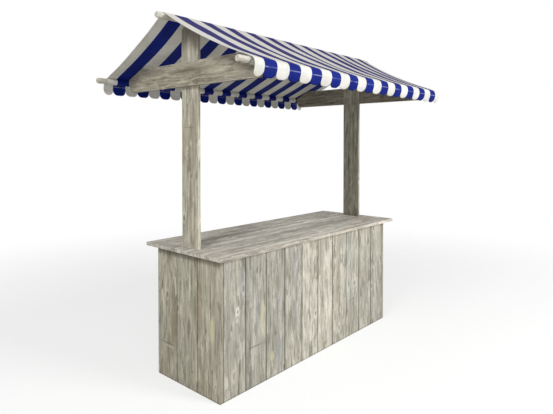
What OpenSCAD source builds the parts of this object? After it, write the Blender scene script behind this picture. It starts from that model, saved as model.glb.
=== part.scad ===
// Wooden market stall: a boarded counter, a post and a tie beam at each end,
// three round poles and one striped cloth roof laid over them.
// The origin is on the ground under the middle of the stall. X runs along the counter to the
// right, Y from the customers' side to the back, Z up.

/* [Counter] */
// Width of one upright board of the front and the back
board_w = 195; // [150:1:240]
// Width of one upright board of the two ends
end_board_w = 215; // [170:1:260]
// Thickness of the upright boards
board_t = 28; // [18:1:40]
// Length of the upright boards, from the ground to the underside of the worktop
board_h = 899; // [700:1:1100]
// Width of the dark seam between two upright boards
seam = 4; // [1:0.5:6]
// Side of the square rails and corner battens inside the counter
rail_w = 45; // [30:1:60]
// Height of the rails and battens above the ground
rail_rise = 30; // [10:1:120]

/* [Worktop] */
// Width of one worktop board
top_board_w = 195; // [160:1:240]
// Thickness of the worktop boards
top_t = 23; // [16:1:40]
// Width of the seam between two worktop boards
top_seam = 1; // [0.5:0.5:4]
// Overhang of the worktop past each end of the counter
top_over = 50; // [20:1:150]
// Clearance round a post where it passes through the worktop
post_fit = 0.5; // [0.3:0.1:3]

/* [Posts and tie beams] */
// Width of a post, across the stall
post_w = 168; // [100:1:200]
// Thickness of a post, along the stall
post_t = 20; // [16:1:45]
// Height of the tie beams
tie_h = 156; // [100:1:200]
// Thickness of the tie beams
tie_t = 28; // [18:1:40]
// Height of the underside of the tie beams above the ground
tie_z = 1989; // [1700:1:2060]

/* [Poles] */
// Diameter of the three poles
pole_d = 42; // [30:1:60]
// Height of the centre of the ridge pole
ridge_z = 2410; // [2300:1:2800]
// Height of the centre of the two eave poles
eave_z = 2062; // [1950:1:2150]
// Distance from the ridge pole's centre line to each eave pole's, measured level
eave_reach = 708; // [600:1:900]
// Length of pole that shows past each end of the cloth
pole_show = 70; // [20:1:200]
// Depth of the seat that each eave pole has in the end of a tie beam
eave_seat = 8; // [4:1:15]
// Clearance between a pole and its seat
seat_fit = 0.3; // [0.2:0.1:1]

/* [Cloth] */
// Number of stripes, the first and the last of them white
stripe_count = 23; // [15:2:31]
// Overhang of the cloth past each end of the counter
cloth_over = 170; // [100:1:300]
// Thickness of the cloth
cloth_t = 2; // [1:0.5:4]
// Depth of the sag between the ridge and the eaves
cloth_sag = 22; // [5:1:30]
// Clearance between the cloth and what it lies on
cloth_fit = 0.3; // [0.2:0.1:1]
// Drop of the scallops below the centre of the eave pole
valance_drop = 88; // [60:1:160]
// Distance that the valance stands out from the centre of the eave pole
valance_out = 45; // [35:1:80]
// Distance that the hem curls back in below that
valance_curl = 26; // [5:1:30]
// Radius of the rounded corners of each scallop
scallop_r = 42; // [15:1:48]

/* [Hidden] */
$fn = 64;
FRONT_COUNT = 10;
END_COUNT = 3;
TOP_COUNT = 4;
CURVE_STEPS = 8;
EPS = 1;

front_l = FRONT_COUNT * board_w;
body_l = front_l + 2 * board_t;
body_d = END_COUNT * end_board_w;
left_x = -body_l / 2;
front_y = -body_d / 2;
top_l = body_l + 2 * top_over;
top_d = TOP_COUNT * top_board_w;
rail_top = board_h - rail_rise;

pole_r = pole_d / 2;
roof_a = atan((ridge_z - eave_z) / eave_reach);
tangent_lift = pole_r / cos(roof_a);
// room left under the cloth for its sag
roof_gap = cloth_sag + cloth_fit;

cloth_l = body_l + 2 * cloth_over;
stripe_w = cloth_l / stripe_count;
pole_l = cloth_l + 2 * pole_show;
ridge_r = pole_r + cloth_fit;
pocket_r = pole_r + cloth_fit + cloth_t;
// the eave poles lie in the tie beams' seats inside their cloth pockets
eave_seat_r = pocket_r + seat_fit;

wood_pale = [0.74, 0.72, 0.66];
wood_grey = [0.62, 0.60, 0.54];
wood_dark = [0.50, 0.48, 0.42];
pole_white = [0.86, 0.84, 0.80];
cloth_blue = [0.13, 0.19, 0.58];

// ---- helpers ---------------------------------------------------------------

// Sends its children, drawn for the left end, to the right end
module at_right() {
    mirror([1, 0, 0]) children();
}

// Sends its children, drawn for the front half, to the back half
module at_back() {
    mirror([0, 1, 0]) children();
}

// Stands a profile, drawn as [distance in front of the ridge, height], across the stall
// and extends it along the stall from x0 over the length len
module across(x0, len) {
    translate([x0 + len, 0, 0]) rotate([90, 0, -90]) linear_extrude(len) children();
}

// Height of the underside of the stretched cloth at a distance from the ridge
function roof_z(reach) = ridge_z + tangent_lift - tan(roof_a) * reach;

// Points after p0 of a quadratic curve to p2 that leaves along p0-p1 and ends along p1-p2
function bend(p0, p1, p2) = [
    for (k = [1:CURVE_STEPS])
        let (t = k / CURVE_STEPS)
            (1 - t) * (1 - t) * p0 + 2 * t * (1 - t) * p1 + t * t * p2
];

// Direction of a path at its point k
function heading(path, k) =
    let (a = path[max(k - 1, 0)], b = path[min(k + 1, len(path) - 1)])
        (b - a) / norm(b - a);

// Path moved sideways by a distance, to the left of its direction
function beside(path, d) = [
    for (k = [0:len(path) - 1])
        let (h = heading(path, k))
            path[k] + d * [-h[1], h[0]]
];

// Strip of cloth whose underside follows a path
module strip(path) {
    polygon(concat(path, [for (k = [len(path) - 1:-1:0]) beside(path, cloth_t)[k]]));
}

// ---- counter ---------------------------------------------------------------

// Upright board k of the front, counted from the left
module front_board(k) {
    color(k % 2 == 0 ? wood_grey : wood_pale)
        translate([left_x + board_t + (k - 1) * board_w + seam / 2, front_y, 0])
            cube([board_w - seam, board_t, board_h]);
}

// Upright board k of the back, counted from the left
module back_board(k) {
    at_back() front_board(k);
}

// Upright board k of the left end, counted from the front
module left_end_board(k) {
    y0 = (k == 1) ? 0 : (k - 1) * end_board_w + seam / 2;
    y1 = (k == END_COUNT) ? body_d : k * end_board_w - seam / 2;
    color(wood_dark) translate([left_x, front_y + y0, 0]) cube([board_t, y1 - y0, board_h]);
}

// Upright board k of the right end, counted from the front
module right_end_board(k) {
    at_right() left_end_board(k);
}

// Batten in the left front corner, inside the boards
module corner_batten() {
    translate([left_x + board_t, front_y + board_t, rail_rise])
        cube([rail_w, rail_w, rail_top - rail_rise]);
}

module corner_battens() {
    color(wood_dark) {
        corner_batten();
        at_back() corner_batten();
        at_right() corner_batten();
        at_right() at_back() corner_batten();
    }
}

// Top and bottom rail that the front boards are nailed to, between the corner battens
module front_rails() {
    for (z = [rail_rise, rail_top - rail_w])
        translate([left_x + board_t + rail_w, front_y + board_t, z])
            cube([front_l - 2 * rail_w, rail_w, rail_w]);
}

module counter_rails() {
    color(wood_dark) {
        front_rails();
        at_back() front_rails();
    }
}

// Worktop board k, counted from the front, let in round the posts that it meets
module worktop_board(k) {
    y0 = (k - 1) * top_board_w - top_d / 2 + ((k == 1) ? 0 : top_seam / 2);
    y1 = k * top_board_w - top_d / 2 - ((k == TOP_COUNT) ? 0 : top_seam / 2);
    color(k % 2 == 0 ? wood_grey : wood_pale)
        difference() {
            translate([-top_l / 2, y0, board_h]) cube([top_l, y1 - y0, top_t]);
            post_hole();
            at_right() post_hole();
        }
}

// Space that the left post takes in the worktop
module post_hole() {
    translate([left_x + board_t - post_fit, -post_w / 2 - post_fit, board_h - EPS])
        cube([post_t + 2 * post_fit, post_w + 2 * post_fit, top_t + 2 * EPS]);
}

// ---- posts and tie beams -----------------------------------------------------

// Post against the inner face of the end boards, cut to the roof and seating the ridge pole
module left_post() {
    half = post_w / 2;
    color(wood_grey)
        across(left_x + board_t, post_t)
            difference() {
                polygon([
                    [-half, 0],
                    [half, 0],
                    [half, roof_z(half) - roof_gap],
                    [pole_r, roof_z(pole_r) - roof_gap],
                    [-pole_r, roof_z(pole_r) - roof_gap],
                    [-half, roof_z(half) - roof_gap]
                ]);
                translate([0, ridge_z]) circle(pole_r + seat_fit);
            }
}

module right_post() {
    at_right() left_post();
}

// Half of a tie beam: its end follows the roof, is squared off to it
// and has a seat for the eave pole
module tie_half() {
    tie_top = tie_z + tie_h;
    cut_from = (roof_z(0) - roof_gap - tie_top) / tan(roof_a);
    end_in = eave_seat_r - eave_seat - sin(roof_a) * (tangent_lift - roof_gap);
    top_reach = eave_reach - cos(roof_a) * end_in;
    foot_reach = top_reach - tan(roof_a) * (roof_z(top_reach) - roof_gap - tie_z);
    difference() {
        polygon([
            [0, tie_z],
            [foot_reach, tie_z],
            [top_reach, roof_z(top_reach) - roof_gap],
            [cut_from, tie_top],
            [0, tie_top]
        ]);
        translate([eave_reach, eave_z]) circle(eave_seat_r);
    }
}

// Tie beam on the outer face of the left post
module left_tie_beam() {
    color(wood_grey)
        across(left_x + board_t - tie_t, tie_t) {
            tie_half();
            mirror([1, 0]) tie_half();
        }
}

module right_tie_beam() {
    at_right() left_tie_beam();
}

// ---- poles -------------------------------------------------------------------

// Round pole along the whole stall at a distance in front of the ridge and a height
module pole(reach, z) {
    color(pole_white)
        translate([-pole_l / 2, -reach, z])
            rotate([0, 90, 0]) cylinder(h = pole_l, r = pole_r);
}

// ---- cloth -------------------------------------------------------------------

// Point where the cloth leaves the ridge pole, and where it reaches the eave pocket
ridge_off = [sin(roof_a), cos(roof_a)] * ridge_r + [0, ridge_z];
eave_on = [sin(roof_a), cos(roof_a)] * (pocket_r + cloth_fit) + [eave_reach, eave_z];
// Point within the pocket's cloth from which the valance is sewn on
eave_seam = [sin(roof_a), cos(roof_a)] * (pocket_r - cloth_t / 2) + [eave_reach, eave_z];

// Front slope of the roof cloth: round the ridge pole, then sagging to the eave
module front_roof_cloth() {
    ridge_arc = [
        for (k = [0:CURVE_STEPS])
            let (a = roof_a * k / CURVE_STEPS)
                [sin(a), cos(a)] * ridge_r + [0, ridge_z]
    ];
    down = (eave_on - ridge_off) / 2;
    low = ridge_off + down - 2 * cloth_sag * [sin(roof_a), cos(roof_a)];
    color(cloth_blue)
        across(-cloth_l / 2, cloth_l) strip(concat(ridge_arc, bend(ridge_off, low, eave_on)));
}

module back_roof_cloth() {
    at_back() front_roof_cloth();
}

// Cut between two scallops, drawn with the boundary of the stripes at 0
// and the lowest point of the hem at 0
module scallop_cut() {
    difference() {
        translate([-scallop_r, -EPS]) square([2 * scallop_r, scallop_r + EPS]);
        for (side = [-1, 1]) translate([side * scallop_r, scallop_r]) circle(scallop_r);
    }
}

// Pocket round the front eave pole, and the scalloped valance that hangs outside it
module front_eave_cloth() {
    hem_z = eave_z - valance_drop;
    fall = [eave_reach + valance_out, eave_z - pole_r];
    crown = eave_seam + [cos(roof_a), -sin(roof_a)] * (valance_out - pole_r);
    hem = [eave_reach + valance_out - valance_curl, hem_z];
    color(cloth_blue)
        difference() {
            across(-cloth_l / 2, cloth_l)
                union() {
                    difference() {
                        translate([eave_reach, eave_z]) circle(pocket_r);
                        translate([eave_reach, eave_z]) circle(pole_r + cloth_fit);
                    }
                    strip(concat([eave_seam], bend(eave_seam, crown, fall), bend(fall, fall - [0, pole_d], hem)));
                }
            for (k = [0:stripe_count])
                translate([k * stripe_w - cloth_l / 2, -eave_reach, hem_z])
                    rotate([90, 0, 0]) linear_extrude(valance_out + pole_d) scallop_cut();
        }
}

module back_eave_cloth() {
    at_back() front_eave_cloth();
}

front_board(1);  // front_board_1
front_board(2);  // front_board_2
front_board(3);  // front_board_3
front_board(4);  // front_board_4
front_board(5);  // front_board_5
front_board(6);  // front_board_6
front_board(7);  // front_board_7
front_board(8);  // front_board_8
front_board(9);  // front_board_9
front_board(10);  // front_board_10
back_board(1);  // back_board_1
back_board(2);  // back_board_2
back_board(3);  // back_board_3
back_board(4);  // back_board_4
back_board(5);  // back_board_5
back_board(6);  // back_board_6
back_board(7);  // back_board_7
back_board(8);  // back_board_8
back_board(9);  // back_board_9
back_board(10);  // back_board_10
left_end_board(1);  // left_end_board_1
left_end_board(2);  // left_end_board_2
left_end_board(3);  // left_end_board_3
right_end_board(1);  // right_end_board_1
right_end_board(2);  // right_end_board_2
right_end_board(3);  // right_end_board_3
corner_battens();
counter_rails();
worktop_board(1);  // worktop_board_1
worktop_board(2);  // worktop_board_2
worktop_board(3);  // worktop_board_3
worktop_board(4);  // worktop_board_4
left_post();
right_post();
left_tie_beam();
right_tie_beam();
pole(0, ridge_z);  // ridge_pole
pole(eave_reach, eave_z);  // front_eave_pole
pole(-eave_reach, eave_z);  // back_eave_pole
front_roof_cloth();
back_roof_cloth();
front_eave_cloth();
back_eave_cloth();
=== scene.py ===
import math
import random

import bpy
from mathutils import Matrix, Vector, noise

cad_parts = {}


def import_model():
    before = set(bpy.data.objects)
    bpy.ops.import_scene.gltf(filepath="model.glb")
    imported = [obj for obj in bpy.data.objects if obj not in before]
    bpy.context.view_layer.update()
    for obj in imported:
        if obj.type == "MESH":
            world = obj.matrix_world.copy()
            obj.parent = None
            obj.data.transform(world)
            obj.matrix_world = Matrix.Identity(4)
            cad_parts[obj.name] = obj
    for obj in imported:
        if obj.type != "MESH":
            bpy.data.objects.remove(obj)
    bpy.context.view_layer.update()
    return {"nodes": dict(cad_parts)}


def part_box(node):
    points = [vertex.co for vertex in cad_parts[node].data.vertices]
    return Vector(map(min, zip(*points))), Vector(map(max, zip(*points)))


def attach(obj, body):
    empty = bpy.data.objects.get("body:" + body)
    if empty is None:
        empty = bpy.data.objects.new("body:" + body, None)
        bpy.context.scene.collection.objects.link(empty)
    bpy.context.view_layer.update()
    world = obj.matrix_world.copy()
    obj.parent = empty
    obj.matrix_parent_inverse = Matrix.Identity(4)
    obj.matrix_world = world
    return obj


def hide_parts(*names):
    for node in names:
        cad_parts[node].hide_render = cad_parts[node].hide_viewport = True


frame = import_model()

X, Y, Z = range(3)

# ---- colours, nodes and meshes -------------------------------------------------------


def srgb(red, green, blue):
    """A display colour, 0 to 255, as the linear colour that a shader takes."""
    def linear(value):
        value /= 255
        return value / 12.92 if value <= 0.04045 else ((value + 0.055) / 1.055) ** 2.4
    return (linear(red), linear(green), linear(blue), 1.0)


class Shader:
    """A material's node tree, with one short call for each kind of node that is used."""

    def __init__(self, name):
        self.material = bpy.data.materials.new(name)
        self.material.use_nodes = True
        self.tree = self.material.node_tree
        self.surface = self.tree.nodes["Principled BSDF"]

    def add(self, kind, inputs, **settings):
        """Add a node. An input is a number, a colour, or another node's output."""
        made = self.tree.nodes.new("ShaderNode" + kind)
        for name, value in settings.items():
            setattr(made, name, value)
        for name, value in inputs.items():
            self.set(made.inputs[name], value)
        return made

    def set(self, socket, value):
        """Link a node's output to a socket, or set the socket to a number or a colour."""
        if isinstance(value, bpy.types.NodeSocket):
            self.tree.links.new(value, socket)
        else:
            socket.default_value = value

    def place(self, scale=(1, 1, 1), shift=(0, 0, 0), turn=(0, 0, 0)):
        """The point on the object in metres, turned, scaled and shifted."""
        point = self.add("TexCoord", {}).outputs["Object"]
        inputs = {"Vector": point, "Scale": scale, "Location": shift, "Rotation": turn}
        return self.add("Mapping", inputs).outputs["Vector"]

    def axis(self, axis):
        """One of the object's coordinates, in metres."""
        point = self.add("TexCoord", {}).outputs["Object"]
        return self.add("SeparateXYZ", {"Vector": point}).outputs[axis]

    def noise(self, place, scale, detail=4.0, rough=0.55, distortion=0.0):
        inputs = {"Vector": place, "Scale": scale, "Detail": detail,
                  "Roughness": rough, "Distortion": distortion}
        return self.add("TexNoise", inputs).outputs["Fac"]

    def math(self, operation, first, second=0.0):
        made = self.add("Math", {}, operation=operation)
        self.set(made.inputs[0], first)
        self.set(made.inputs[1], second)
        return made.outputs[0]

    def plus(self, first, second):
        return self.math("ADD", first, second)

    def minus(self, first, second):
        return self.math("SUBTRACT", first, second)

    def times(self, first, second):
        return self.math("MULTIPLY", first, second)

    def off(self, value, middle):
        """How far a value is from a middle, either way."""
        return self.math("ABSOLUTE", self.minus(value, middle))

    def step(self, value, low, high, to_low=0.0, to_high=1.0):
        """A smooth step of value, from to_low at low to to_high at high."""
        inputs = {"Value": value, "From Min": low, "From Max": high,
                  "To Min": to_low, "To Max": to_high}
        return self.add("MapRange", inputs, interpolation_type="SMOOTHSTEP").outputs["Result"]

    def mix(self, share, under, over, blend="MIX"):
        """One colour over another by a share."""
        made = self.add("Mix", {}, data_type="RGBA", blend_type=blend)
        self.set(made.inputs[0], share)
        self.set(made.inputs[6], under)
        self.set(made.inputs[7], over)
        return made.outputs[2]

    def shaded(self, colour, *stepped):
        """A colour made darker or paler by a smooth step, given as step takes it."""
        share = self.step(*stepped)
        grey = self.add("CombineColor", {"Red": share, "Green": share, "Blue": share})
        return self.mix(1.0, colour, grey.outputs["Color"], "MULTIPLY")

    def finish(self, colour, rough, height, depth, **constants):
        """Wire up the surface. height is in units of depth, and constants name its other inputs."""
        self.set(self.surface.inputs["Base Color"], colour)
        self.set(self.surface.inputs["Roughness"], rough)
        inputs = {"Height": height, "Distance": depth, "Strength": 1.0}
        bump = self.add("Bump", inputs).outputs["Normal"]
        self.set(self.surface.inputs["Normal"], bump)
        for name, value in constants.items():
            self.surface.inputs[name.replace("_", " ")].default_value = value
        return self.material


def wear(obj, material):
    """Give an object one material in place of any that it has."""
    obj.data.materials.clear()
    obj.data.materials.append(material)


def new_mesh(name, points, faces):
    """A smooth object from points in metres and faces that number them."""
    mesh = bpy.data.meshes.new(name)
    mesh.from_pydata(points, [], faces)
    mesh.update()
    mesh.polygons.foreach_set("use_smooth", [True] * len(mesh.polygons))
    obj = bpy.data.objects.new(name, mesh)
    bpy.context.scene.collection.objects.link(obj)
    return obj


# ---- grey-washed timber --------------------------------------------------------------

WASH = {
    "deep": srgb(134, 131, 119),
    "mid": srgb(180, 177, 165),
    "cream": srgb(222, 219, 206),
    "yellow": srgb(209, 203, 168),
    "blue": srgb(157, 160, 163),
    "brown": srgb(146, 133, 114),
    "knot": srgb(92, 84, 72),
    "white": srgb(232, 232, 226),
}

# how far each place is squeezed along the grain, which draws what is read there out
SQUEEZE = {"streaks": 0.09, "patches": 0.22, "fibres": 0.03, "bands": 0.012}
# each noise of the wash: its place, scale, detail, roughness and distortion
NOISES = {
    "streak": ("streaks", 60.0, 6.0, 0.70, 0.1),
    "brush": ("streaks", 110.0, 7.0, 0.76, 0.1),
    "band": ("bands", 38.0, 2.0, 0.50, 0.0),
    "blotch": ("patches", 18.0, 5.0, 0.66, 0.3),
    "cloud": ("patches", 7.0, 3.0, 0.50, 0.3),
    "fibre": ("fibres", 330.0, 3.0, 0.60, 0.0),
    "crack": ("fibres", 110.0, 2.0, 0.50, 0.0),
    "ragged": ("patches", 60.0, 3.0, 0.55, 0.0),
    "frayed": ("patches", 110.0, 4.0, 0.70, 0.0),
}
# how far a board's grain is askew of the trunk, in radians, and how far from its middle it is cut
RING_TILT = (0.03, 0.07)
PITH_AWAY = (0.03, 0.06)
RING_WAVE = {"Scale": 26.0, "Distortion": 3.0, "Detail": 3.0,
             "Detail Scale": 1.3, "Detail Roughness": 0.6}
# knots lie one to a cell, in the cells whose draw of 0 to 1 is past KNOT_DRAW
KNOT_CELLS_PER_METRE = 3.4
KNOT_SQUEEZE = 0.5
KNOT_DRAW = (0.42, 0.46)
# how far from a cell's point, in cells, a knot and the pale ring round it begin and are full
KNOT_RIM = (0.062, 0.040)
HALO_RIM = (0.110, 0.066)
CHIP_SCALE = 18.0
SMALL_CHIP_SCALE = 60.0
GRAIN_DEPTH = 0.0012
# each board's own share of tone is drawn between these
LUCK = (0.97, 1.03)
# heights at which an upright board's foot begins to darken and is darkest
FOOT_DARKENING = (0.012, 0.002)

# marks on single boards: place across the board, distance in metres from its low end, half
# width, half length, colour and strength
MARKS = {
    "front_board_1": ((0.63, 0.538, 0.024, 0.032, "white", 0.65),
                      (0.63, 0.538, 0.009, 0.013, "deep", 0.7),
                      (0.61, 0.482, 0.014, 0.017, "white", 0.40),
                      (0.46, 0.139, 0.026, 0.055, "cream", 0.5),
                      (0.46, 0.139, 0.013, 0.030, "brown", 0.6),
                      (0.83, 0.720, 0.022, 0.120, "blue", 0.5)),
    "front_board_2": ((0.82, 0.443, 0.022, 0.150, "yellow", 0.6),
                      (0.45, 0.269, 0.085, 0.006, "knot", 0.45),
                      (0.06, 0.700, 0.022, 0.130, "blue", 0.5)),
    "front_board_3": ((0.31, 0.146, 0.026, 0.034, "yellow", 0.6),
                      (0.49, 0.298, 0.018, 0.014, "deep", 0.6),
                      (0.60, 0.180, 0.040, 0.090, "blue", 0.4)),
    "front_board_4": ((0.13, 0.549, 0.014, 0.020, "brown", 0.7),
                      (0.30, 0.370, 0.012, 0.050, "brown", 0.5)),
    "front_board_8": ((0.50, 0.300, 0.060, 0.005, "knot", 0.35),),
    "left_end_board_1": ((0.34, 0.441, 0.022, 0.095, "yellow", 0.6),
                         (0.61, 0.426, 0.006, 0.014, "knot", 0.7),
                         (0.36, 0.181, 0.006, 0.014, "knot", 0.6),
                         (0.35, 0.671, 0.010, 0.070, "cream", 0.4)),
    "left_end_board_2": ((0.37, 0.694, 0.008, 0.080, "cream", 0.6),
                         (0.26, 0.123, 0.008, 0.010, "knot", 0.6)),
    "left_end_board_3": ((0.45, 0.241, 0.080, 0.006, "knot", 0.45),
                         (0.40, 0.222, 0.050, 0.010, "cream", 0.3)),
    "left_tie_beam": ((0.64, 0.700, 0.024, 0.190, "deep", 0.7),
                      (0.64, 0.700, 0.008, 0.110, "knot", 0.5),
                      (0.75, 1.060, 0.030, 0.130, "deep", 0.7),
                      (0.50, 0.380, 0.020, 0.140, "cream", 0.4)),
    "worktop_board_1": ((0.25, 0.900, 0.020, 0.900, "cream", 0.5),
                        (0.70, 0.500, 0.024, 0.500, "deep", 0.7)),
    "worktop_board_2": ((0.40, 1.300, 0.030, 0.800, "deep", 0.6),
                        (0.80, 0.700, 0.022, 0.600, "cream", 0.4)),
    "worktop_board_3": ((0.30, 1.500, 0.024, 0.500, "cream", 0.4),
                        (0.65, 0.600, 0.036, 0.500, "deep", 0.7)),
    "left_post": ((0.22, 1.150, 0.006, 0.200, "knot", 0.5),
                  (0.45, 1.250, 0.005, 0.260, "knot", 0.5),
                  (0.62, 1.560, 0.006, 0.012, "knot", 0.6),
                  (0.40, 1.400, 0.006, 0.012, "knot", 0.5),
                  (0.55, 1.720, 0.060, 0.004, "knot", 0.35),
                  (0.55, 2.230, 0.016, 0.090, "cream", 0.6)),
    "right_post": ((0.67, 1.400, 0.004, 0.550, "knot", 0.7),
                   (0.35, 1.700, 0.012, 0.200, "deep", 0.6)),
}

# the pale wash on each front board, from the left, and its lightness; the back repeats them
FRONT_CREAM = (0.50, 0.45, 0.35, 0.50, 0.70, 0.70, 0.55, 0.55, 0.45, 0.45)
FRONT_SHADE = (0.87, 0.85, 0.85, 0.95, 1.12, 1.10, 0.99, 0.95, 0.90, 0.89)
# this many boards from the left have a blue cast
BLUE_BOARDS = 3
END_CREAM = (0.30, 0.25, 0.30)
TOP_CREAM = (0.70, 0.35, 0.60, 0.45)
# the right post and tie beam are painted 0.80 as light as the left ones, as painted shade from the
# roof
POST_SHADE = {"left": 1.02, "right": 1.02 * 0.80}
BEAM_SHADE = {"left": 0.76, "right": 0.76 * 0.80}
BEVEL_SEGMENTS = 2


class Timber(Shader):
    """The wash of one node, whose grain runs along one of its axes."""

    def __init__(self, node, along):
        super().__init__(node + "_wash")
        self.chance = random.Random(node)
        self.low, self.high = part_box(node)
        self.size = self.high - self.low
        self.along = along
        self.thin = min((a for a in (X, Y, Z) if a != along), key=lambda a: self.size[a])
        self.wide = X + Y + Z - along - self.thin
        self.shift = [self.chance.uniform(-40, 40) for _ in range(3)]
        self.places = {name: self.squeezed(name, share) for name, share in SQUEEZE.items()}

    def squeezed(self, name, share):
        """The point on the board, with its distance along the grain made shorter."""
        scale = [1.0, 1.0, 1.0]
        scale[self.along] = share
        return self.place(scale, self.shift[::-1] if name == "patches" else self.shift)

    def read(self, name):
        """One of the wash's noises."""
        place, *settings = NOISES[name]
        return self.noise(self.places[place], *settings)

    def cells(self, place, scale):
        """One number from 0 to 1 for each cell of a net of irregular cells."""
        net = self.add("TexVoronoi", {"Vector": place, "Scale": scale})
        return self.add("SeparateColor", {"Color": net.outputs["Color"]}).outputs["Red"]

    def ragged_place(self, scale=30.0, reach=0.05):
        """The patches' place pushed about by noise, so that what is drawn there is ragged."""
        place = self.places["patches"]
        push = self.add("TexNoise", {"Vector": place, "Scale": scale, "Detail": 3.0})
        inputs = {0: push.outputs["Color"], 1: (reach, reach, reach), 2: place}
        return self.add("VectorMath", inputs, operation="MULTIPLY_ADD").outputs["Vector"]

    def coat(self, colour, value, start, full, strength, paint):
        """Lay a colour of the wash over another, where value goes from start to full."""
        return self.mix(self.step(value, start, full, 0.0, strength), colour, WASH[paint])

    def rings(self):
        """Growth rings, cut lengthwise."""
        tilt = [0.0, 0.0, 0.0]
        tilt[self.wide] = self.chance.uniform(*RING_TILT) * self.chance.choice((-1, 1))
        pith = [-(self.low[a] + self.high[a]) / 2 for a in (X, Y, Z)]
        pith[self.thin] += self.chance.uniform(*PITH_AWAY)
        pith[self.along] = 0.0
        inputs = {"Vector": self.place((1, 1, 1), pith, tilt), **RING_WAVE}
        turned = "XYZ"[self.along]
        return self.add("TexWave", inputs, wave_type="RINGS", rings_direction=turned).outputs["Fac"]

    def knots(self, strength):
        """Long ovals that go through the board, and the pale ring round each."""
        up_grain = self.times(self.plus(self.axis(self.along), self.shift[self.along]), KNOT_SQUEEZE)
        across = self.plus(self.axis(self.wide), self.shift[self.wide])
        face = self.add("CombineXYZ", {"X": across, "Y": up_grain}).outputs["Vector"]
        inputs = {"Vector": face, "Scale": KNOT_CELLS_PER_METRE}
        net = self.add("TexVoronoi", inputs, voronoi_dimensions="2D")
        away = self.plus(net.outputs["Distance"], self.times(self.read("ragged"), 0.03))
        draw = self.add("SeparateColor", {"Color": net.outputs["Color"]}).outputs["Red"]
        has_knot = self.step(draw, *KNOT_DRAW, 0.0, strength)
        knot = self.times(self.step(away, *KNOT_RIM), has_knot)
        return knot, self.times(self.step(away, *HALO_RIM), has_knot)

    def marks(self, colour, node):
        """The node's own marks, as frayed ovals."""
        frayed = self.times(self.read("frayed"), 1.6)
        for place, far, half_w, half_l, paint, share in MARKS.get(node, ()):
            side = self.minus(self.axis(self.wide), self.low[self.wide] + place * self.size[self.wide])
            rise = self.minus(self.axis(self.along), self.low[self.along] + far)
            side = self.math("POWER", self.math("DIVIDE", side, half_w), 2.0)
            rise = self.math("POWER", self.math("DIVIDE", rise, half_l), 2.0)
            away = self.plus(self.math("SQRT", self.plus(side, rise)), frayed)
            colour = self.coat(colour, away, 2.1, 1.3, share, paint)
        return colour

    def rim(self, axis, edge):
        """1 at the two sides across an axis, and 0 from edge inside them."""
        half = self.size[axis] / 2
        off = self.off(self.axis(axis), (self.low[axis] + self.high[axis]) / 2)
        return self.step(off, half - edge, half - edge / 4)

    def edges(self, colour, edge, seam, brush):
        """Dark sides towards a neighbour by the share seam, as joint grime and painted shade, or else
        arrises rubbed pale.
        """
        rim = self.rim(self.wide, edge)
        if seam:
            return self.mix(self.times(rim, seam), colour, WASH["knot"])
        pale_line = self.times(rim, self.rim(self.thin, edge))
        pale_line = self.times(pale_line, self.step(brush, 0.35, 0.6, 0.1, 0.6))
        return self.mix(pale_line, colour, WASH["cream"])

    def shade_top_dark_foot(self, colour, painted_shade, reach_down):
        """An upright board's top darkened by painted shade from what overhangs it, reach_down metres
        long, and its foot darkened towards the bottom.
        """
        top = self.high.z
        colour = self.coat(colour, self.axis(Z), top - reach_down, top - 0.008, painted_shade, "knot")
        return self.coat(colour, self.axis(Z), *FOOT_DARKENING, 0.6, "knot")


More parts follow.
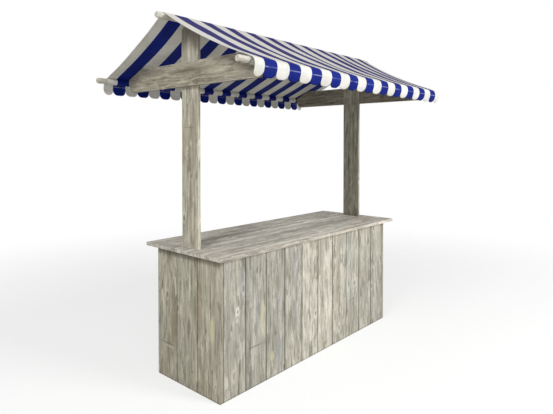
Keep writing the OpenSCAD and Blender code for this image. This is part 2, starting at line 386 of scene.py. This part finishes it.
def washed_timber(node, along, cream=0.5, shade=(1, 1, 1), warmth=0.3, edge=0.005,
                  seam=0.0, shelter=(0.0, 0.05), knots=0.6, drift=0.0):
    """Brushed grey and cream wash over softwood, with its grain along one axis of a node.

    cream is how much pale wash lies on it, shade multiplies its colour, and warmth is its share
    of brown against blue. Its sides are dark by the share seam, as joint grime and painted shade,
    or its arrises are rubbed pale within edge. shelter is how dark and how long its painted shade
    at the top is, knots how strongly its knots show, and drift how much paler, as painted light, its
    high end is than its low one.
    """
    mat = Timber(node, along)
    rings = mat.rings()
    knot, halo = mat.knots(knots)
    ragged = mat.ragged_place()
    chip = mat.cells(ragged, CHIP_SCALE)
    small_chip = mat.cells(ragged, SMALL_CHIP_SCALE)
    streak = mat.read("streak")
    brush = mat.read("brush")
    blotch = mat.read("blotch")
    cloud = mat.read("cloud")
    fibre = mat.read("fibre")
    crack = mat.read("crack")

    # bare wood under an old wash, with chips that each have a tone of their own
    colour = mat.mix(mat.step(streak, 0.34, 0.54), WASH["deep"], WASH["mid"])
    colour = mat.shaded(colour, mat.read("band"), 0.38, 0.62, 0.90, 1.07)
    colour = mat.shaded(colour, chip, 0.0, 1.0, 0.90, 1.08)
    colour = mat.shaded(colour, small_chip, 0.0, 1.0, 0.93, 1.05)
    colour = mat.coat(colour, cloud, 0.52, 0.70, 0.45 * (1 - warmth), "blue")
    colour = mat.coat(colour, cloud, 0.46, 0.32, 0.6 * warmth, "brown")
    # pale wash, on the brushed streaks and thicker in patches
    reach = mat.plus(mat.times(brush, 0.45), mat.times(blotch, 0.55))
    colour = mat.coat(colour, reach, 0.56 - 0.10 * cream, 0.64 - 0.10 * cream, 0.5, "cream")
    colour = mat.coat(colour, small_chip, 0.86, 0.94, 0.35, "cream")
    colour = mat.coat(colour, small_chip, 0.07, 0.02, 0.35, "knot")
    colour = mat.coat(colour, blotch, 0.66, 0.72, 0.5 * cream, "yellow")
    # cracks, scratches, knots and grain
    colour = mat.coat(colour, crack, 0.31, 0.24, 0.45, "knot")
    colour = mat.coat(colour, crack, 0.68, 0.76, 0.40, "cream")
    colour = mat.mix(mat.times(halo, 0.6), colour, WASH["cream"])
    colour = mat.mix(knot, colour, WASH["knot"])
    colour = mat.shaded(colour, rings, 0.1, 0.9, 0.92, 1.03)
    colour = mat.shaded(colour, fibre, 0.3, 0.7, 0.91, 1.05)

    colour = mat.marks(colour, node)
    colour = mat.edges(colour, edge, seam, brush)
    # painted shade: an upright board's top is darkened under what overhangs it, and its foot is
    # darkened towards the bottom
    if along == Z:
        colour = mat.shade_top_dark_foot(colour, *shelter)
    luck = mat.chance.uniform(*LUCK)
    colour = mat.mix(1.0, colour, (*(share * luck for share in shade), 1.0), "MULTIPLY")
    # painted light: the colour is made paler towards the high end of the grain
    if drift:
        ends = (mat.low[along], mat.high[along])
        colour = mat.shaded(colour, mat.axis(along), *ends, 1.0, 1.0 + drift)

    height = mat.plus(mat.times(fibre, 0.5), mat.times(rings, 0.25))
    height = mat.plus(height, mat.times(brush, 0.6))
    height = mat.minus(height, mat.times(knot, 0.5))
    rough = mat.step(brush, 0.3, 0.7, 0.86, 0.70)
    return mat.finish(colour, rough, height, GRAIN_DEPTH, Specular_IOR_Level=0.3)


def tinted(share, green, blue):
    """A shade by its share of red light, and its green and blue as shares of that."""
    return (share, share * green, share * blue)


def dress(node, material, bevel):
    """Round a CAD node's edges and give it its material."""
    obj = frame["nodes"][node]
    rounded = obj.modifiers.new("worn_edges", "BEVEL")
    rounded.width = bevel
    rounded.segments = BEVEL_SEGMENTS
    rounded.limit_method = "ANGLE"
    rounded.harden_normals = False
    wear(obj, material)


def counter():
    for k, (cream, share) in enumerate(zip(FRONT_CREAM, FRONT_SHADE), 1):
        for side in ("front", "back"):
            node = f"{side}_board_{k}"
            shade = tinted(share, 0.995, 0.99)
            warmth = 0.1 if k <= BLUE_BOARDS else 0.4
            # seam is joint grime and painted shade between boards; shelter is painted shade under the
            # worktop's front overhang
            timber = washed_timber(node, Z, cream, shade, warmth, seam=0.7, shelter=(0.3, 0.04))
            dress(node, timber, bevel=0.003)
    for k, cream in enumerate(END_CREAM, 1):
        for side in ("left", "right"):
            node = f"{side}_end_board_{k}"
            shade = tinted(0.97, 0.988, 0.925)
            # seam is joint grime and painted shade, and also darkens the narrow front face; shelter is
            # painted shade under the worktop's overhang
            timber = washed_timber(node, Z, cream, shade, warmth=0.8, seam=0.35,
                                   shelter=(0.8, 0.06))
            dress(node, timber, bevel=0.003)
    for k, cream in enumerate(TOP_CREAM, 1):
        node = f"worktop_board_{k}"
        shade = tinted(1.21, 0.982, 1.0)
        # drift paints the worktop paler towards its right end, as painted light; seam is joint grime
        # and painted shade on its front edge
        timber = washed_timber(node, X, cream, shade, warmth=0.7, edge=0.003, seam=0.3, drift=0.30)
        dress(node, timber, bevel=0.002)
    for node, grain in (("corner_battens", Z), ("counter_rails", X)):
        shade = tinted(0.85, 0.985, 0.92)
        dress(node, washed_timber(node, grain, cream=0.0, shade=shade, warmth=0.9), bevel=0.001)


def posts_and_beams():
    for side in ("left", "right"):
        node = side + "_post"
        shade = tinted(POST_SHADE[side], 0.975, 0.915)
        # shelter is painted shade from the roof on the top 0.30 m of each post
        timber = washed_timber(node, Z, cream=0.35, shade=shade, warmth=0.8, shelter=(0.65, 0.30))
        dress(node, timber, bevel=0.002)
        node = side + "_tie_beam"
        shade = tinted(BEAM_SHADE[side], 0.95, 0.87)
        timber = washed_timber(node, Y, cream=0.30, shade=shade, warmth=0.8, knots=0.15)
        dress(node, timber, bevel=0.002)


# ---- whitewashed poles ---------------------------------------------------------------

POLE_RINGS_PER_METRE = 90
POLE_SIDES = 32
POLE_KNOTS = 26
# a knot on a pole: its half length in metres, its half width as the sine of half its angle, and
# how far it stands out, as a share of the radius
POLE_KNOT = (0.011, 0.32, 0.09)
# between knots a pole is this share of its CAD radius
POLE_GIRTH = 0.925
# an axe-cut end as (distance from the end, share of the radius), hollow by CUT_HOLLOW
CUT_END = ((0.0, 0.55), (0.0, 0.80), (0.002, 0.93), (0.006, 0.985))
CUT_HOLLOW = 0.001
CUT_TO_BARE = 0.006
# slow and quick swelling, as (share of the radius, how often along a metre)
POLE_SWELL = (0.035, 9)
POLE_BUMPS = (0.02, 40)
# name, CAD node, and how much shorter at the left than the CAD pole
POLES = (("ridge_pole_wood", "ridge_pole", 0.010),
         ("front_pole_wood", "front_eave_pole", 0.020),
         ("back_pole_wood", "back_eave_pole", 0.0))
POLE_SHADOW, POLE_PALE = srgb(150, 144, 130), srgb(198, 195, 185)
POLE_STAIN, POLE_WASH = srgb(168, 158, 140), srgb(214, 212, 203)


def pole_material():
    mat = Shader("whitewashed_pole")
    streak = mat.noise(mat.place((0.12, 1, 1), (3.0, 7.0, 1.0)), 70.0, 5.0, 0.65, 0.4)
    patch = mat.noise(mat.place((0.5, 1, 1), (9.0, 2.0, 5.0)), 22.0, 4.0, 0.6, 0.5)
    colour = mat.mix(mat.step(streak, 0.30, 0.60), POLE_SHADOW, POLE_PALE)
    colour = mat.mix(mat.step(patch, 0.60, 0.72, 0.0, 0.6), colour, POLE_STAIN)
    colour = mat.mix(mat.step(patch, 0.42, 0.30, 0.0, 0.7), colour, POLE_WASH)
    height = mat.plus(streak, mat.times(patch, 0.8))
    return mat.finish(colour, mat.step(streak, 0.3, 0.7, 0.8, 0.6), height, 0.0010,
                      Specular_IOR_Level=0.35)


def pole_stations(x0, x1):
    """Rings round the cut face at the left end, along the pole, and over the right end."""
    inner = CUT_END[-1][0] + CUT_TO_BARE
    count = round((x1 - x0) * POLE_RINGS_PER_METRE)
    stations = [(x0 + inset, share) for inset, share in CUT_END]
    stations += [(x0 + inner + (x1 - x0 - 2 * inner) * k / count, 1.0) for k in range(count + 1)]
    return stations + [(x1 - inset, share) for inset, share in reversed(CUT_END)]


def round_pole(name, node, start, material):
    """A peeled pole with knots and axe-cut ends inside a CAD pole; start shortens its left end."""
    chance = random.Random(name)
    low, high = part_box(node)
    radius = (high.z - low.z) / 2
    axis_y, axis_z = (low.y + high.y) / 2, (low.z + high.z) / 2
    x0, x1 = low.x + start, high.x
    knots = [(chance.uniform(x0, x1), chance.uniform(0, math.tau)) for _ in range(POLE_KNOTS)]
    # three more near the ends, where the poles are bare of cloth
    knots += [(x0 + 0.022, 1.0), (x0 + 0.060, 3.4), (x1 - 0.03, 0.4)]
    seed = chance.uniform(0, 50)
    knot_l, knot_w, knot_h = POLE_KNOT
    swelling, often = POLE_SWELL
    bumps, quick = POLE_BUMPS

    def swell(x, turn):
        """Share of the full radius at a place on the pole."""
        share = POLE_GIRTH + swelling * noise.noise((x * often, seed, math.cos(turn) * 0.8))
        share += bumps * noise.noise((x * quick, math.sin(turn) * 2, seed))
        for at, side in knots:
            off, round_it = (x - at) / knot_l, math.sin((turn - side) / 2) / knot_w
            share += knot_h * math.exp(-off * off - round_it * round_it)
        return min(share, 1.0)

    stations = pole_stations(x0, x1)
    points, faces = [], []
    for x, share in stations:
        for k in range(POLE_SIDES):
            turn = math.tau * k / POLE_SIDES
            reach = radius * share * swell(x, turn)
            points.append((x, axis_y + reach * math.sin(turn), axis_z + reach * math.cos(turn)))

    def corners(ring, k):
        """The numbers of two neighbouring points of a ring."""
        return ring * POLE_SIDES + k, ring * POLE_SIDES + (k + 1) % POLE_SIDES

    for ring in range(len(stations) - 1):
        for k in range(POLE_SIDES):
            a, b = corners(ring, k)
            faces.append((a, b, b + POLE_SIDES, a + POLE_SIDES))
    for ring, x in ((0, x0 + CUT_HOLLOW), (len(stations) - 1, x1 - CUT_HOLLOW)):
        centre = len(points)
        points.append((x, axis_y, axis_z))
        for k in range(POLE_SIDES):
            a, b = corners(ring, k)
            faces.append((b, a, centre) if ring == 0 else (a, b, centre))
    pole = new_mesh(name, points, faces)
    wear(pole, material)
    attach(pole, "root")
    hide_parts(node)


# ---- striped cloth -------------------------------------------------------------------

STRIPES = 23
HEM_STRIPE = 0.076
CLOTH_W = 2.352
STRIPE = (CLOTH_W - 2 * HEM_STRIPE) / (STRIPES - 2)
CLOTH_T = 0.0014
COLUMNS_PER_STRIPE = 10
SCALLOP_R = 0.037
# the valance: its depth from the hem, its rows, and how far from the hem its pocket is sewn
VALANCE = 0.085
VALANCE_ROWS = 10
POCKET_SEAM = 0.064
SAG_FRONT = 0.020
SAG_BACK = 0.022
RIDGE_STEPS = 4
SLOPE_STEPS = 44
EAVE_STEP = 0.0055
# how far the cloth lies to the right of the stall's middle at the back, the ridge and the front
SKEW_BACK = -0.015
SKEW_RIDGE = -0.008
SKEW_FRONT = 0.038
# how much narrower the cloth lies at the back eave, as a share
GATHER_BACK = 0.018
# ripples on the slopes: height, how often along the stall and down the slope, and seed
RIPPLES = ((0.0110, 3.1, 2.0, 4.0), (0.0060, 9.0, 3.0, 9.0))
# how far the tabs of the valance sway, and how far their middles bulge
TAB_SWAY = 0.004
TAB_BULGE = 0.0015

# the cloth over the front and the back eave pole, as (outwards, up) from the pole's middle
FRONT_EAVE = ((-0.045, 0.0440), (-0.004, 0.0275), (0.033, 0.010), (0.0445, -0.021),
              (0.037, -0.058), (0.020, -0.088))
BACK_EAVE = ((-0.045, 0.0400), (-0.008, 0.0240), (0.026, 0.012), (0.044, -0.012),
             (0.046, -0.056), (0.038, -0.093))

# a pocket starts on top of its pole, goes round its inner side, and ends behind the valance
WRAP_FROM = math.radians(104)
WRAP_TURN = math.radians(236)
WRAP_STEPS = 20
POCKET_STEP = 0.004
POCKET_END = {"front": (0.039, -0.010), "back": (0.040, -0.010)}

WHITE = srgb(208, 207, 200), srgb(222, 221, 216)
BLUE = srgb(2, 24, 110), srgb(4, 30, 126)
# the upper side's painted colours: white with painted shade, blue with a painted sheen
TOP_SHADE_WHITE, TOP_SHEEN_BLUE = srgb(198, 195, 190), srgb(42, 39, 98)
# the stitches' colour, and the colour of the painted highlight along each pocket seam
STITCH, SEAM_HIGHLIGHT = srgb(150, 148, 140), srgb(206, 212, 236)
STRIPE_WANDER = 0.0012
# how far from the hems the upper side's painted shade and sheen begin and are full
TOP_PAINT_FROM_HEM = (0.11, 0.17)
STITCH_INSET = 0.018
STITCH_LENGTH = 0.003
WEAVE_SCALE = 260.0
WEAVE_DEPTH = 0.0006


def smooth_curve(points, step):
    """Points about a step apart along a smooth curve through the given ones (Catmull-Rom)."""
    ends = [2 * points[0] - points[1], *points, 2 * points[-1] - points[-2]]
    out = [points[0]]
    for a, b, c, d in zip(ends, ends[1:], ends[2:], ends[3:]):
        count = max(2, round((c - b).length / step))
        for k in range(1, count + 1):
            t = k / count
            out.append(0.5 * (2 * b + (c - a) * t + (2 * a - 5 * b + 4 * c - d) * t * t
                              + (3 * b - a - 3 * c + d) * t ** 3))
    return out


def slope_and_eave(ridge, eave, ridge_r, sag, eave_curve):
    """Half of the cloth's section as (distance from the ridge, height), from the ridge's top."""
    reach, height = eave
    roof_a = math.atan2(ridge - height, reach)
    points = []
    for k in range(RIDGE_STEPS + 1):
        a = roof_a * k / RIDGE_STEPS
        points.append(Vector((ridge_r * math.sin(a), ridge + ridge_r * math.cos(a))))
    start = points[-1]
    curve = [Vector((reach + out, height + up)) for out, up in eave_curve]
    for k in range(1, SLOPE_STEPS):
        t = k / SLOPE_STEPS
        points.append(start.lerp(curve[0], t) - Vector((0, sag * 4 * t * (1 - t))))
    return points + smooth_curve(curve, EAVE_STEP)


def stripe_columns():
    """Places across the flat cloth, crowded at the edges of the stripes.

    Each is (distance from the cloth's left side, distance from the nearest edge of a stripe).
    """
    edges = [0.0] + [HEM_STRIPE + k * STRIPE for k in range(STRIPES - 1)] + [CLOTH_W]
    columns = []
    for k, (a, b) in enumerate(zip(edges, edges[1:])):
        for j in range(COLUMNS_PER_STRIPE + (k == STRIPES - 1)):
            u = a + (b - a) * (1 - math.cos(math.pi * j / COLUMNS_PER_STRIPE)) / 2
            columns.append((u, min(u - a, b - u)))
    return columns


def scallop_cut(d):
    """How much shorter the hem is at a distance from the edge of a stripe."""
    if d >= SCALLOP_R:
        return 0.0
    return SCALLOP_R - math.sqrt(SCALLOP_R ** 2 - (SCALLOP_R - d) ** 2)


def running_lengths(path):
    """How far along a path each of its points is."""
    lengths = [0.0]
    for a, b in zip(path, path[1:]):
        lengths.append(lengths[-1] + (b - a).length)
    return lengths


def point_along(path, lengths, s):
    """Point at a distance along a path."""
    for k in range(1, len(path)):
        if s <= lengths[k] or k == len(path) - 1:
            t = (s - lengths[k - 1]) / (lengths[k] - lengths[k - 1])
            return path[k - 1].lerp(path[k], min(t, 1.0))


def canvas_material(length):
    """Woven stripes: reads the place on the flat cloth, in metres, from the mesh."""
    mat = Shader("striped_canvas")
    flat = mat.add("Attribute", {}, attribute_name="flat_place").outputs["Vector"]
    parts = mat.add("SeparateXYZ", {"Vector": flat})
    u, v = parts.outputs["X"], parts.outputs["Y"]

    # white and blue by turns, from a white stripe at the left side
    wander = mat.times(mat.minus(mat.noise(flat, 30.0, 2.0), 0.5), STRIPE_WANDER)
    stripe_at = mat.minus(mat.plus(u, wander), HEM_STRIPE - STRIPE)
    turn = mat.math("FRACT", mat.math("DIVIDE", stripe_at, 2 * STRIPE))
    blue = mat.step(mat.off(turn, 0.75), 0.2525, 0.2475)
    soft = mat.noise(flat, 7.0, 3.0, 0.6)
    slub = mat.add("Mapping", {"Vector": flat, "Scale": (1.0, 0.05, 1.0)}).outputs["Vector"]
    thread = mat.noise(slub, 900.0, 2.0, 0.6)
    uneven = mat.step(soft, 0.35, 0.65)
    colour = mat.mix(blue, mat.mix(uneven, *WHITE), mat.mix(uneven, *BLUE))
    colour = mat.shaded(colour, thread, 0.3, 0.7, 0.93, 1.04)

    # the upper side between the eaves is painted greyer: painted shade darkens its whites and a
    # painted sheen turns its blue purple-grey
    facing = mat.add("TexCoord", {}).outputs["Normal"]
    upward = mat.add("SeparateXYZ", {"Vector": facing}).outputs["Z"]
    from_hem = mat.math("MINIMUM", v, mat.minus(length, v))
    top_shade_and_sheen = mat.times(mat.step(upward, 0.4, 0.8), mat.step(from_hem, *TOP_PAINT_FROM_HEM))
    colour = mat.mix(mat.times(top_shade_and_sheen, 0.9), colour, mat.mix(blue, TOP_SHADE_WHITE, TOP_SHEEN_BLUE))

    # a row of stitches inside the hems at the two sides
    from_side = mat.math("MINIMUM", u, mat.minus(CLOTH_W, u))
    on_row = mat.step(mat.off(from_side, STITCH_INSET), 0.0012, 0.0006)
    in_row = mat.step(mat.math("PINGPONG", v, STITCH_LENGTH), 0.0004, 0.0009)
    stitch = mat.times(on_row, in_row)
    colour = mat.mix(mat.times(stitch, 0.35), colour, STITCH)

    # the seam of each pole pocket is raised, and a painted highlight runs along it across the valance
    seam = mat.step(mat.off(from_hem, POCKET_SEAM), 0.0050, 0.0008)
    pale_line = mat.times(seam, mat.step(mat.noise(flat, 12.0, 2.0), 0.35, 0.65, 0.06, 0.34))
    colour = mat.mix(pale_line, colour, SEAM_HIGHLIGHT)

    warp = mat.add("TexWave", {"Vector": flat, "Scale": WEAVE_SCALE}, bands_direction="X")
    weft = mat.add("TexWave", {"Vector": flat, "Scale": WEAVE_SCALE}, bands_direction="Y")
    weave = mat.times(warp.outputs["Fac"], weft.outputs["Fac"])
    height = mat.plus(mat.times(weave, 0.15), mat.times(soft, 0.3))
    height = mat.minus(height, mat.times(stitch, 0.4))
    height = mat.plus(height, mat.times(seam, 1.2))
    return mat.finish(colour, mat.step(thread, 0.3, 0.7, 0.72, 0.62), height, WEAVE_DEPTH,
                      Sheen_Weight=0.02, Sheen_Roughness=0.4, Specular_IOR_Level=0.15)


def cloth_sheet(name, rows_at, columns, material, thickness):
    """A sheet from a function that gives a column's points as (point, place along the cloth)."""
    points, flat, faces = [], [], []
    for u, d in columns:
        for point, v in rows_at(u, d):
            points.append(point)
            flat.append((u, v, 0.0))
    rows = len(points) // len(columns)
    for i in range(len(columns) - 1):
        for j in range(rows - 1):
            a = i * rows + j
            faces.append((a, a + 1, a + 1 + rows, a + rows))
    sheet = new_mesh(name, points, faces)
    place = sheet.data.attributes.new("flat_place", "FLOAT_VECTOR", "POINT")
    place.data.foreach_set("vector", [value for row in flat for value in row])
    skin = sheet.modifiers.new("thickness", "SOLIDIFY")
    skin.thickness = thickness
    skin.offset = 0.0
    wear(sheet, material)
    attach(sheet, "root")
    return sheet


def skewed_x(y, u, half):
    """Where a place across the flat cloth comes to lie along the stall."""
    share = abs(y) / half
    if y < 0:
        return SKEW_RIDGE + (SKEW_FRONT - SKEW_RIDGE) * share + u - CLOTH_W / 2
    middle = SKEW_RIDGE + (SKEW_BACK - SKEW_RIDGE) * share
    return middle + (u - CLOTH_W / 2) * (1 - GATHER_BACK * share)


def draped(x, y, z, tab, from_hem, reach):
    """A point of the smooth roof moved by its slow ripples and by its tabs' own stand."""
    t = abs(y) / reach
    slack = max(0.0, t * (1 - t)) * 4
    ripple = sum(height * noise.noise((x * wide, y * down, seed))
                 for height, wide, down, seed in RIPPLES)
    loose = max(0.0, 1 - from_hem / VALANCE)
    # each tab has a draw of its own, and the two eaves have different ones
    sway = TAB_SWAY * noise.noise((math.floor(tab) * 1.7, 3.0 if y < 0 else 8.0, 0.5)) * loose
    bulge = TAB_BULGE * math.sin(math.pi * tab) ** 2 * loose
    return (x, y + math.copysign(sway + bulge, y), z + ripple * slack)


def canopy():
    """The roof cloth from hem to hem, and the pockets that it holds its eave poles in."""
    ridge_low, ridge_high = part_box("ridge_pole")
    eave_low, eave_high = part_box("back_eave_pole")
    pole_r = (ridge_high.z - ridge_low.z) / 2
    ridge = (ridge_low.z + ridge_high.z) / 2
    eave = ((eave_low.y + eave_high.y) / 2, (eave_low.z + eave_high.z) / 2)
    front = slope_and_eave(ridge, eave, pole_r + CLOTH_T, SAG_FRONT, FRONT_EAVE)
    back = slope_and_eave(ridge, eave, pole_r + CLOTH_T, SAG_BACK, BACK_EAVE)
    # from the front hem over the ridge to the back hem, as (y, z)
    path = [Vector((-p.x, p.y)) for p in reversed(front)] + back[1:]
    lengths = running_lengths(path)
    total = lengths[-1]
    slope_rows = [s for s in lengths if VALANCE < s < total - VALANCE]
    columns = stripe_columns()

    def rows_at(u, d):
        cut = scallop_cut(d)
        front_rows = [cut + (VALANCE - cut) * k / VALANCE_ROWS for k in range(VALANCE_ROWS + 1)]
        tab = (u - HEM_STRIPE) / STRIPE + 1
        for s in front_rows + slope_rows + [total - s for s in reversed(front_rows)]:
            y, z = point_along(path, lengths, s)
            x = skewed_x(y, u, eave[0])
            yield draped(x, y, z, tab, min(s, total - s), eave[0]), s

    material = canvas_material(total)
    roof = cloth_sheet("roof_canvas", rows_at, columns, material, CLOTH_T)
    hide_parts("front_roof_cloth", "back_roof_cloth", "front_eave_cloth", "back_eave_cloth")

    for side, sign in (("front", -1), ("back", 1)):
        pocket(side, sign, eave, pole_r + CLOTH_T, columns, material)


def pocket(side, sign, eave, wrap_r, columns, material):
    """The strip sewn under the roof cloth that holds an eave pole."""
    path = []
    for k in range(WRAP_STEPS + 1):
        turn = WRAP_FROM + WRAP_TURN * k / WRAP_STEPS
        path.append(Vector((wrap_r * math.cos(turn), wrap_r * math.sin(turn))))
    path = smooth_curve(path + [Vector(POCKET_END[side])], POCKET_STEP)
    lengths = running_lengths(path)

    def rows_at(u, d):
        for point, s in zip(path, lengths):
            y = sign * (eave[0] + point.x)
            yield (skewed_x(y, u, eave[0]), y, eave[1] + point.y), s

    strip = cloth_sheet(side + "_pole_pocket", rows_at, columns, material, CLOTH_T / 2)


# ---- the stall -----------------------------------------------------------------------

counter()
posts_and_beams()
whitewashed = pole_material()
for settings in POLES:
    round_pole(*settings, whitewashed)
canopy()

# ---- camera, floor and light ---------------------------------------------------------

# the camera was fitted to the photo, which is PX_WIDE pixels wide
PX_WIDE = 553
FOCAL_PX = 484.7
SHIFT_PX = -54.7
SENSOR = 36.0
EYE = (-2.984, -2.547, 1.6165)
HEADING = math.radians(-48.39)
PITCH = math.radians(-1.10)

FLOOR_SEEN = srgb(253, 253, 252)
FLOOR_BOUNCE = srgb(186, 184, 176)
# the floor fades from full at the first distance to nothing at the second
FLOOR_FADE = (2.2, 6.0)
# how much of the floor the camera sees, with the white backdrop behind it
FLOOR_VEIL = 0.38
WORLD_LIGHT = 0.40

# name, place, what it is aimed at, size in metres and watts
LIGHTS = (
    ("key", (1.7, -6.9, 3.2), (0.2, 0, 1.2), 2.5, 450),
    ("side", (-4.6, -1.2, 4.6), (-0.8, 0, 0.9), 1.2, 120),
    ("low", (-5.5, -2.4, 1.5), (-0.8, 0.4, 1.8), 1.5, 60),
)


def camera():
    data = bpy.data.cameras.new("camera")
    data.sensor_width = SENSOR
    data.lens = SENSOR * FOCAL_PX / PX_WIDE
    data.shift_y = SHIFT_PX / PX_WIDE
    obj = bpy.data.objects.new("camera", data)
    obj.location = EYE
    obj.rotation_euler = (math.radians(90) + PITCH, 0, HEADING)
    bpy.context.scene.collection.objects.link(obj)
    bpy.context.scene.camera = obj


def floor():
    """A pale floor that fades into the white backdrop and throws little light up under the roof."""
    bpy.ops.mesh.primitive_circle_add(vertices=96, radius=FLOOR_FADE[1] + 0.5, fill_type="NGON")
    disc = bpy.context.object
    disc.name = "floor"
    mat = Shader("floor")
    speckle = mat.noise(mat.place(), 40.0)
    seen = mat.add("LightPath", {}).outputs["Is Camera Ray"]
    colour = mat.shaded(mat.mix(seen, FLOOR_BOUNCE, FLOOR_SEEN), speckle, 0.3, 0.7, 0.985, 1.0)
    material = mat.finish(colour, 0.9, speckle, 0.0002)
    away = mat.add("VectorMath", {0: mat.place()}, operation="LENGTH").outputs["Value"]
    fade = mat.step(away, *reversed(FLOOR_FADE))
    veil = mat.step(seen, 0.0, 1.0, 1.0, FLOOR_VEIL)
    mat.set(mat.surface.inputs["Alpha"], mat.times(fade, veil))
    wear(disc, material)


def world():
    """A white backdrop that lights the stall more softly than it looks."""
    made = bpy.data.worlds.new("studio")
    made.use_nodes = True
    nodes, links = made.node_tree.nodes, made.node_tree.links
    background = nodes["Background"]
    background.inputs["Color"].default_value = (1.0, 1.0, 1.0, 1.0)
    seen = nodes.new("ShaderNodeLightPath").outputs["Is Camera Ray"]
    strength = nodes.new("ShaderNodeMapRange")
    strength.inputs["To Min"].default_value = WORLD_LIGHT
    strength.inputs["To Max"].default_value = 1.0
    links.new(seen, strength.inputs["Value"])
    links.new(strength.outputs["Result"], background.inputs["Strength"])
    bpy.context.scene.world = made


def light(name, place, aim, size, watts):
    data = bpy.data.lights.new(name, "AREA")
    data.size = size
    data.energy = watts
    obj = bpy.data.objects.new(name, data)
    obj.location = place
    obj.rotation_euler = (Vector(aim) - Vector(place)).to_track_quat("-Z", "Y").to_euler()
    bpy.context.scene.collection.objects.link(obj)


bpy.context.scene.view_settings.view_transform = "Standard"
camera()
floor()
world()
for settings in LIGHTS:
    light(*settings)
